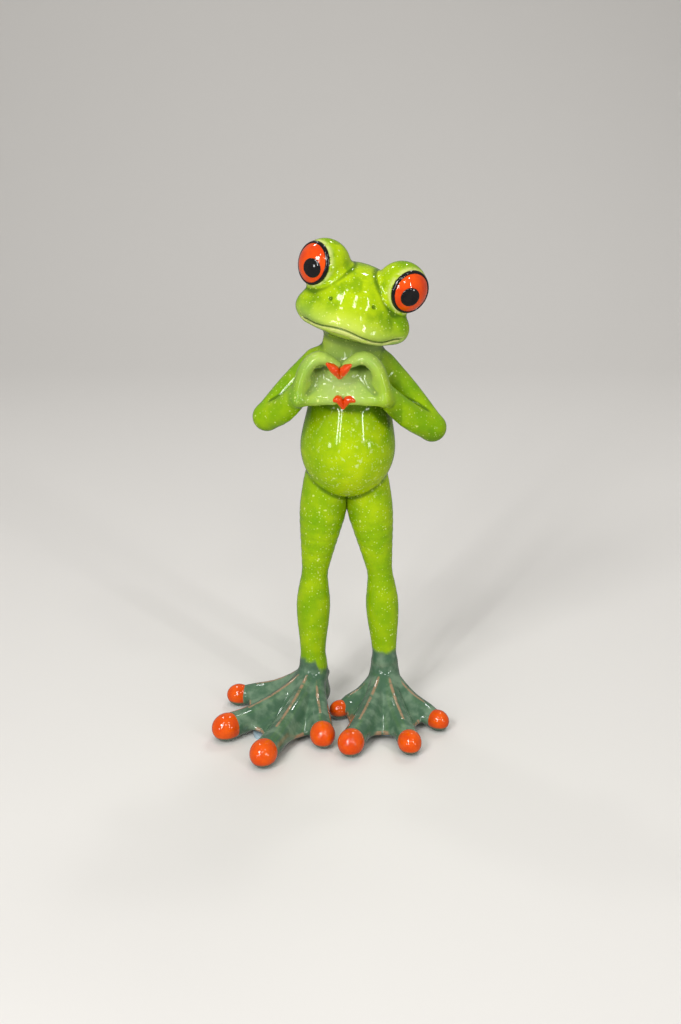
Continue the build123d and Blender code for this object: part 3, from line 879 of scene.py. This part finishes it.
def skin_material():
    """Speckled green glaze that turns teal on the feet, driven by the masks of the skin pieces."""
    material, tree, shader = new_material("skin", GLAZE_ROUGHNESS, SKIN_COAT, SKIN_GLOSS)
    place = node(tree, "ShaderNodeTexCoord").outputs["Object"]
    patches = noise(tree, place, *YELLOWING_NOISE)
    # Yellowing patches of the glaze, held back on the arms as painted shade
    patches = maths(tree, "MULTIPLY_ADD", patches, YELLOWING_STRENGTH, mask_socket(tree, "warmth_and_arm_shade"))
    colour = mix_colour(tree, ramp(tree, patches, *YELLOWING_RAMP), GREEN, YELLOW_GREEN)
    colour = mix_colour(tree, mask_socket(tree, "bright"), colour, BRIGHT_YELLOW_GREEN)
    brushed = ramp(tree, noise(tree, place, *BRUSH_NOISE), *BRUSH_RAMP)
    # Brushed darker patches of the glaze on the head, and painted shade on the arms
    colour = mix_colour(tree, times(tree, brushed, mask_socket(tree, "shade")), colour, SHADE_GREEN)
    # Painted shade in recesses and creases, under the elbows, beside the belly and at the crotch
    colour = mix_colour(tree, mask_socket(tree, "painted_shade"), colour, PAINTED_SHADE_GREEN)
    colour = mix_colour(tree, mask_socket(tree, "pale"), colour, PALE_GREEN)
    blotches = ramp(tree, noise(tree, place, *BLOTCH_NOISE), *BLOTCH_RAMP)
    colour = mix_colour(tree, times(tree, blotches, mask_socket(tree, "blotch")), colour, BLOTCH)
    grain = noise(tree, place, *GRAIN_NOISE)
    small = spots(tree, place, grain, *SMALL_FLECKS)
    large = spots(tree, place, grain, *LARGE_FLECKS)
    colour = mix_colour(tree, times(tree, small, SMALL_FLECK_STRENGTH), colour, FLECK)
    colour = mix_colour(tree, times(tree, large, LARGE_FLECK_STRENGTH), colour, FLECK)
    # Paler sharp edges, tan on the feet: worn glaze and painted highlight, with a painted highlight
    # ring round each eye
    worn_and_highlit = ramp(tree, noise(tree, place, *WEAR_AND_HIGHLIGHT_NOISE), *WEAR_AND_HIGHLIGHT_RAMP)
    worn_and_highlit = times(tree, mask_socket(tree, "edge"), worn_and_highlit)
    colour = mix_colour(tree, worn_and_highlit, colour, PALE_EDGE)
    clouds = ramp(tree, noise(tree, place, *CLOUD_NOISE), *CLOUD_RAMP)
    teal = mix_colour(tree, worn_and_highlit, mix_colour(tree, clouds, TEAL, TEAL_LIGHT), TAN)
    border = noise(tree, place, *TEAL_BORDER_NOISE)
    border = maths(tree, "MULTIPLY_ADD", border, TEAL_BORDER_STRENGTH, mask_socket(tree, "teal"))
    on_feet = ramp(tree, border, *TEAL_BORDER_RAMP)
    colour = mix_colour(tree, on_feet, colour, teal)
    coat = maths(tree, "MULTIPLY_ADD", on_feet, FEET_EXTRA_COAT, SKIN_COAT)
    tree.links.new(coat, shader.inputs["Coat Weight"])
    tree.links.new(colour, shader.inputs["Base Color"])
    return material


def mottled_material(name, first, second, size_mm):
    """Two close colours in soft clouds, and teal where a piece has an underside."""
    material, tree, shader = new_material(name, GLAZE_ROUGHNESS, SMALL_PIECE_COAT, SMALL_PIECE_GLOSS)
    place = node(tree, "ShaderNodeTexCoord").outputs["Object"]
    clouds = ramp(tree, noise(tree, place, size_mm, MOTTLE_DETAIL), *MOTTLE_RAMP)
    colour = mix_colour(tree, clouds, first, second)
    colour = mix_colour(tree, mask_socket(tree, "under"), colour, TEAL)
    tree.links.new(colour, shader.inputs["Base Color"])
    return material


skin = skin_material()
orange = mottled_material("toe_orange", ORANGE, ORANGE_DEEP, size_mm=5.0)
red = mottled_material("finger_red", RED, ORANGE_DEEP, size_mm=3.0)
iris = mottled_material("iris", IRIS, IRIS_DEEP, size_mm=6.0)
black = mottled_material("eye_black", BLACK, BLACK_SOFT, size_mm=4.0)
pad_grey = mottled_material("pad", PAD, PAD_DEEP, size_mm=2.0)

# Where the glaze is paler
LIPS_PATCH = (MOUTH_HEIGHT, 3.4)
LIPS_LOWEST = 157.0
LIPS_FRONT_RAMP = (0.0, 7.0)
BOWL_ACROSS_PATCH = (HEART_X, 13.0)
BOWL_UP_PATCH = (145.0, 10.0)
BOWL_FRONT_RAMP = (4.0, 10.0)
BOWL_LOWEST = 139.0
THROAT_PATCH = (160.0, 8.0)
THROAT_FRONT_RAMP = (0.0, 8.0)
THROAT_TOP_RAMP = (160.0, 166.0)
THIGH_SPOT = (-15.5, -6.0, 84.0)
THIGH_SPOT_SPREAD = 2.2

# Painted shade: darker where shade falls, under the elbows, in the upper corners of the bowl behind
# the hands, beside the belly under the arms, at the crotch and in recesses and creases
UNDER_ELBOW_OUT_PATCH = (33.0, 9.0)
UNDER_ELBOW_UP_PATCH = (121.0, 6.0)
BOWL_CORNER_OUT_PATCH = (9.0, 4.0)
BOWL_CORNER_UP_PATCH = (151.5, 4.0)
BOWL_CORNER_FRONT_RAMP = (5.0, 10.0)
BOWL_CORNER_FOREMOST = -20.0
BESIDE_BELLY_OUT_PATCH = (17.0, 5.0)
BESIDE_BELLY_UP_PATCH = (134.0, 7.0)
BESIDE_BELLY_OUTERMOST = 20.0
CROTCH_ACROSS_PATCH = (-1.0, 5.0)
CROTCH_UP_PATCH = (92.0, 8.0)
RECESS_RAMP = (-0.04, 0.45)
RECESS_STRENGTH = 1.6
LEG_RECESS_SHARE = 0.4
LEG_TOP = 106.0
DARKEST_PAINTED_SHADE = 0.75

# Border of the teal at the ankles, with a green drip inside the right one
TEAL_BORDER = {-1: 24.0, 1: 27.5}
TEAL_DRIP = 5.0
TEAL_DRIP_RAMP = (-14.5, -12.0)
TEAL_SOFTNESS = 5.0

# Sharp edges made paler by worn glaze and by painted highlight, and a painted highlight ring round
# each eye
FOOT_TOP = 24.0
NEAR_ANKLE_RAMP = (9.0, 13.0)
FOOT_WEAR_AND_HIGHLIGHT = (0.4, 0.9)
ANKLE_WEAR_AND_HIGHLIGHT_CHANGE = (0.2, 0.3)
BODY_WEAR_AND_HIGHLIGHT_RAMP = (0.8, 1.5)
EYE_RING_PATCH = (0.75, 0.45)
EYE_RING_STRENGTH = 0.8
EYE_RING_BACK = 3.0

# Warmer, brighter and brushed areas, with painted shade on the arms, which face the lamps
HEAD_RAMP = (155.0, 161.0)
FACE_PATCH = (0.0, 13.0)
FACE_FRONT_RAMP = (-5.0, 5.0)
BELLY_ACROSS_PATCH = (2.0, 13.0)
BELLY_UP_PATCH = (115.0, 20.0)
BELLY_FRONT_RAMP = (-5.0, 5.0)
BELLY_LOW_RAMP = (84.0, 92.0)
ARM_OUT_RAMP = (14.0, 20.0)
ARM_LOWEST = 118.0
ARM_HIGHEST = 158.0
MUZZLE_ACROSS_PATCH = (0.0, 12.0)
MUZZLE_UP_PATCH = (-2.0, 3.6)
MUZZLE_FRONT_RAMP = (3.0, 12.0)

# Strength of each area in its mask
PALE_SHARES = {"lips": 0.35, "bowl": 0.8, "throat": 0.45, "spot": 0.8}
PAINTED_SHADE_SHARES = {"elbow": 0.5, "corners": 0.9, "belly": 0.5, "crotch": 0.35}
# The arms' negative share is painted shade
WARMTH_AND_ARM_SHADE_SHARES = {"everywhere": 0.28, "face": 0.34, "belly": 0.25, "arm": -0.1}
MUZZLE_BRIGHT = 0.6
BELLY_BLOTCH = 0.75
HEAD_SHADE = 0.6
MUZZLE_CLEAR = 1.6
# Painted shade on the arms
ARM_SHADE = 0.35


# Masks of the skin pieces
def pale_mask(verts, local):
    x, y, z = verts.T
    lips = hump(local[:, 2], *LIPS_PATCH) * (z > LIPS_LOWEST) * step_up(-local[:, 1], *LIPS_FRONT_RAMP)
    bowl = hump(x, *BOWL_ACROSS_PATCH) * hump(z, *BOWL_UP_PATCH)
    bowl = bowl * step_up(-y, *BOWL_FRONT_RAMP) * (z > BOWL_LOWEST)
    throat = hump(z, *THROAT_PATCH) * step_up(-y, *THROAT_FRONT_RAMP)
    throat = throat * (1 - step_up(z, *THROAT_TOP_RAMP))
    spot = hump(((verts - THIGH_SPOT) ** 2).sum(1), 0, THIGH_SPOT_SPREAD)
    areas = {"lips": lips, "bowl": bowl, "throat": throat, "spot": spot}
    return np.clip(sum(PALE_SHARES[name] * area for name, area in areas.items()), 0, 1)


# Painted shade: darker glaze colour where shade falls in creases, recesses and under and between parts
def painted_shade_mask(verts, wide_bend):
    x, y, z = verts.T
    out = np.abs(x)
    elbow = hump(out, *UNDER_ELBOW_OUT_PATCH) * hump(z, *UNDER_ELBOW_UP_PATCH)
    corners = hump(np.abs(x - HEART_X), *BOWL_CORNER_OUT_PATCH) * hump(z, *BOWL_CORNER_UP_PATCH)
    corners = corners * step_up(-y, *BOWL_CORNER_FRONT_RAMP) * (y > BOWL_CORNER_FOREMOST)
    belly = hump(out, *BESIDE_BELLY_OUT_PATCH) * hump(z, *BESIDE_BELLY_UP_PATCH)
    belly = belly * (out < BESIDE_BELLY_OUTERMOST)
    crotch = hump(x, *CROTCH_ACROSS_PATCH) * hump(z, *CROTCH_UP_PATCH)
    areas = {"elbow": elbow, "corners": corners, "belly": belly, "crotch": crotch}
    shadows = sum(PAINTED_SHADE_SHARES[name] * area for name, area in areas.items())
    recesses = RECESS_STRENGTH * step_up(-wide_bend, *RECESS_RAMP)
    recesses = recesses * np.where(z < LEG_TOP, LEG_RECESS_SHARE, 1.0)
    return np.clip(shadows + recesses, 0, DARKEST_PAINTED_SHADE)


def teal_mask(verts):
    x, _, z = verts.T
    drip = TEAL_DRIP * step_up(x, *TEAL_DRIP_RAMP)
    border = np.where(x < 0, TEAL_BORDER[-1] - drip, TEAL_BORDER[1])
    return np.clip((border - z) / TEAL_SOFTNESS + 0.5, 0, 1)


# Worn glaze and painted highlight on sharp edges, and a painted highlight ring round each eye
def edge_mask(verts, local, fine_bend, on_head):
    z = verts[:, 2]
    near_ankle = step_up(z, *NEAR_ANKLE_RAMP)
    low, high = (bound - change * near_ankle for bound, change in zip(FOOT_WEAR_AND_HIGHLIGHT, ANKLE_WEAR_AND_HIGHLIGHT_CHANGE))
    edge = np.where(z < FOOT_TOP, step_up(fine_bend, low, high), step_up(fine_bend, *BODY_WEAR_AND_HIGHLIGHT_RAMP))
    edge = edge * (1 - on_head * (local[:, 2] > 0))
    for _, side in SIDES:
        along, across = from_axis(verts.T, *eye_place(side))
        ring = hump(across - EYE_OPENING, *EYE_RING_PATCH) * (along > EYE_RING_BACK)
        edge = edge + EYE_RING_STRENGTH * ring
    return edge


def skin_masks(verts, fine_bend, wide_bend):
    """Where the glaze is paler, teal, warmer, brighter, blotched or brushed, where shade is painted in
    darker, and where worn glaze and painted highlights make edges paler.
    """
    x, y, z = verts.T
    local = (verts - HEAD_MIDDLE) @ HEAD_TURNING
    on_head = step_up(z, *HEAD_RAMP)
    face = hump(local[:, 0], *FACE_PATCH) * step_up(-local[:, 1], *FACE_FRONT_RAMP) * on_head
    belly = hump(x, *BELLY_ACROSS_PATCH) * hump(z, *BELLY_UP_PATCH)
    belly = belly * step_up(-y, *BELLY_FRONT_RAMP) * step_up(z, *BELLY_LOW_RAMP)
    arm = step_up(np.abs(x), *ARM_OUT_RAMP) * (z > ARM_LOWEST) * (z < ARM_HIGHEST)
    muzzle = hump(local[:, 0], *MUZZLE_ACROSS_PATCH) * hump(local[:, 2], *MUZZLE_UP_PATCH)
    muzzle = muzzle * step_up(-local[:, 1], *MUZZLE_FRONT_RAMP)
    areas = {"everywhere": 1.0, "face": face, "belly": belly, "arm": arm}
    return {
        "pale": pale_mask(verts, local),
        "painted_shade": painted_shade_mask(verts, wide_bend),
        "teal": teal_mask(verts),
        "edge": edge_mask(verts, local, fine_bend, on_head),
        # Lower on the arms, as painted shade
        "warmth_and_arm_shade": np.clip(sum(WARMTH_AND_ARM_SHADE_SHARES[name] * area for name, area in areas.items()), 0, 1),
        "bright": MUZZLE_BRIGHT * muzzle * on_head,
        "blotch": BELLY_BLOTCH * belly,
        # The head's brushed patches are the glaze's own; on the arms this is painted shade
        "shade": HEAD_SHADE * on_head * (1 - np.clip(MUZZLE_CLEAR * muzzle, 0, 1)) + ARM_SHADE * arm,
    }


# Skin pieces
def add_skin(name, step):
    def unbroken(points):
        return whole_skin(name, points)[0]

    piece, verts, fine_bend = add_piece(
        name + "_skin", name, skin, step, lambda points: cut_skin(name, points), unbroken
    )
    wide_bend = probe(unbroken, verts, RECESS_REACH)[1]
    for mask, values in skin_masks(verts, fine_bend, wide_bend).items():
        add_mask(piece, mask, values)


for piece_name in ("torso", "leg_right", "leg_left"):
    add_skin(piece_name, VOXEL)
for piece_name in ("head", "arm_right", "arm_left"):
    add_skin(piece_name, FINE_VOXEL)
for piece_name in ("foot_right", "foot_left"):
    add_skin(piece_name, FINE_VOXEL)

# Toe ends are teal underneath
TOE_UNDERSIDE_RAMP = (1.9, 3.3)


def toe_tip_field(points, side, toe):
    angle, _, size = toe
    direction = toe_direction(side, angle)
    moved = [p - m for p, m in zip(points, toe_end(side, toe))]
    along = moved[0] * direction[0] + moved[1] * direction[1]
    sideways = moved[1] * direction[0] - moved[0] * direction[1]
    radius = TOE_TIP_RADIUS * size
    radii = (TOE_TIP_LENGTH * size, radius * TOE_TIP_NARROW, radius)
    ball = ellipsoid((along, sideways, moved[2]), (0, 0, 0), radii)
    return np.maximum(ball, TOE_TIP_FLOOR - points[2])


for foot_name, side in SIDES:
    for number, toe in enumerate(TOES[foot_name], start=1):
        tip_name = f"toe_tip_{foot_name}_{number}"
        piece, verts, _ = add_piece(
            tip_name + "_ball",
            tip_name,
            orange,
            FINE_VOXEL,
            lambda points: toe_tip_field(points, side, toe),
        )
        add_mask(piece, "under", 1 - step_up(verts[:, 2], *TOE_UNDERSIDE_RAMP))


# Red ends of the fingers and thumbs
def red_field(points, side, shape):
    sideways, places, radii = RED_CHAINS[shape, side]
    chain = [heart_point(side, *place) + (sideways, 0, 0) for place in places]
    return limb(squeezed(points, RED_SQUEEZE), chain, radii, RED_BARS)


for hand_name, side in SIDES:
    for shape in ("finger", "thumb"):
        add_piece(
            f"{shape}_tip_{hand_name}_red",
            f"{shape}_tip_{hand_name}",
            red,
            FINE_VOXEL,
            lambda points: red_field(points, side, shape),
        )


# Eyes
def eyeball_field(points, side):
    middle, gaze = eye_place(side)
    ball = sphere(points, middle + gaze * EYEBALL_OFFSET, EYEBALL_RADIUS)
    along, across = from_axis(points, middle, gaze)
    return np.maximum(np.maximum(ball, EYEBALL_BACK - along), across - EYE_OPENING + EYEBALL_INSET)


def pupil_field(points, side):
    middle, gaze = eye_place(side)
    centre = middle + gaze * EYEBALL_OFFSET
    along, across = from_axis(points, centre, pupil_axis(side))
    front = sphere(points, centre, EYEBALL_RADIUS + PUPIL_PROUD)
    lens = np.maximum(front, EYEBALL_RADIUS - PUPIL_DEPTH - along)
    return -blend(-lens, PUPIL_RADIUS - across, PUPIL_EDGE)


def rim_field(points, side):
    middle, gaze = eye_place(side)
    along, across = from_axis(points, middle + gaze * EYE_OPENING_DEPTH, gaze)
    steep = EYE_OPENING / EYEBALL_RADIUS
    level = (1 - steep**2) ** 0.5
    outward = ((across - EYE_OPENING) * steep + along * level) / EYE_RIM_THICKNESS
    sideways = ((across - EYE_OPENING) * level - along * steep) / EYE_RIM_WIDTH
    return (np.sqrt(outward**2 + sideways**2) - 1.0) * EYE_RIM_THICKNESS


EYE_PIECES = (
    ("eyeball", "dome", "iris", iris, eyeball_field, FINE_VOXEL),
    ("pupil", "dome", "eye_black", black, pupil_field, FINE_VOXEL),
    ("eye_rim", "ring", "eye_black", black, rim_field, RIM_VOXEL),
)
for eye_name, side in SIDES:
    for part, form, slot, material, shape_field, step in EYE_PIECES:
        add_piece(
            f"{part}_{eye_name}_{form}",
            f"{part}_{eye_name}",
            material,
            step,
            lambda points: shape_field(points, side),
        )

# The pads keep their solids
for pad_name in ("foot_pad_left", "foot_pad_right"):
    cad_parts[pad_name].data.materials.clear()
    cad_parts[pad_name].data.materials.append(pad_grey)

# Stage, in metres: the floor curves up into a backdrop
STAGE_WIDTH = 6.0
STAGE_FRONT = -3.0
STAGE_BACK = 1.2
STAGE_RISE = 3.5
STAGE_CURVE = 0.6
STAGE_CURVE_STEPS = 12
FLOOR_ROUGHNESS = 0.6
FLOOR_COAT = 0.0
FLOOR_GLOSS = 0.3
# Lamps: place, size, power and whether the glaze mirrors them
LAMPS = {
    "key": ((-0.5, -0.7, 0.8), (0.22, 0.22), 3.4, True),
    "tall_left": ((-0.40, -0.82, 0.6), (0.03, 0.8), 2.6, True),
    "tall_near_left": ((-0.30, -0.86, 0.55), (0.025, 0.5), 1.2, True),
    "tall_right": ((0.55, -0.7, 0.5), (0.03, 0.4), 1.3, True),
    "low_left": ((-0.72, -0.80, 0.20), (0.12, 0.16), 0.8, True),
    "low_right": ((0.82, -0.68, 0.18), (0.12, 0.16), 0.8, True),
    "small_middle": ((0.12, -0.75, 0.75), (0.1, 0.1), 0.7, True),
    "small_left": ((-0.2, -0.55, 1.0), (0.09, 0.09), 0.5, True),
    "small_right": ((0.45, -0.45, 0.95), (0.09, 0.09), 0.5, True),
    "back": ((0.3, 0.6, 0.8), (0.4, 0.1), 1.4, False),
    "back_left": ((-0.35, 0.45, 0.9), (0.09, 0.09), 0.7, True),
    "back_right": ((0.3, 0.5, 0.95), (0.09, 0.09), 0.7, True),
    "top": ((0.0, -0.2, 1.3), (0.9, 0.9), 3.9, False),
}
LAMP_TARGET = (0, 0, 0.1)
WORLD_STRENGTH = 0.2
# Camera: place in millimetres, measured as the figure is, and tilt in degrees from straight down
CAMERA_PLACE = (-3.6, -543.6, 286.3)
CAMERA_TILT = 70.0
CAMERA_LENS = 50
CAMERA_SENSOR = 36


def add_stage():
    """A pale floor that curves up into a backdrop."""
    bend = STAGE_BACK - STAGE_CURVE
    profile = [(STAGE_FRONT, 0.0), (bend, 0.0)]
    for number in range(1, STAGE_CURVE_STEPS + 1):
        angle = radians(90 * number / STAGE_CURVE_STEPS)
        profile.append((bend + STAGE_CURVE * sin(angle), STAGE_CURVE - STAGE_CURVE * cos(angle)))
    profile.append((STAGE_BACK, STAGE_RISE))
    verts = [(x, y, z) for y, z in profile for x in (-STAGE_WIDTH / 2, STAGE_WIDTH / 2)]
    faces = [(2 * i, 2 * i + 1, 2 * i + 3, 2 * i + 2) for i in range(len(profile) - 1)]
    mesh = bpy.data.meshes.new("floor")
    mesh.from_pydata(verts, [], faces)
    mesh.polygons.foreach_set("use_smooth", [True] * len(mesh.polygons))
    material, tree, shader = new_material("floor", FLOOR_ROUGHNESS, FLOOR_COAT, FLOOR_GLOSS)
    set_socket(tree, shader.inputs["Base Color"], FLOOR)
    mesh.materials.append(material)
    floor = bpy.data.objects.new("floor", mesh)
    bpy.context.scene.collection.objects.link(floor)
    floor.visible_glossy = False


def add_lamp(name, place, size, power, mirrored):
    data = bpy.data.lights.new(name, "AREA")
    data.shape = "RECTANGLE"
    data.size, data.size_y = size
    data.energy = power
    lamp = bpy.data.objects.new(name, data)
    bpy.context.scene.collection.objects.link(lamp)
    lamp.visible_glossy = mirrored
    lamp.location = place
    target = bpy.data.objects.new(name + "_aim", None)
    target.location = LAMP_TARGET
    bpy.context.scene.collection.objects.link(target)
    aim = lamp.constraints.new("TRACK_TO")
    aim.target = target
    aim.track_axis = "TRACK_NEGATIVE_Z"
    aim.up_axis = "UP_Y"


def add_camera():
    data = bpy.data.cameras.new("camera")
    data.lens = CAMERA_LENS
    data.sensor_width = CAMERA_SENSOR
    camera = bpy.data.objects.new("camera", data)
    camera.location = (np.array(CAMERA_PLACE) + STANCE) * MM
    camera.rotation_euler = (radians(CAMERA_TILT), 0, 0)
    bpy.context.scene.collection.objects.link(camera)
    bpy.context.scene.camera = camera


def add_world():
    world = bpy.data.worlds.new("studio")
    bpy.context.scene.world = world
    world.use_nodes = True
    background = world.node_tree.nodes["Background"]
    set_socket(world.node_tree, background.inputs["Color"], WORLD)
    background.inputs["Strength"].default_value = WORLD_STRENGTH


add_stage()
for lamp_name, settings in LAMPS.items():
    add_lamp(lamp_name, *settings)
add_camera()
add_world()
bpy.context.scene.view_settings.view_transform = "Standard"
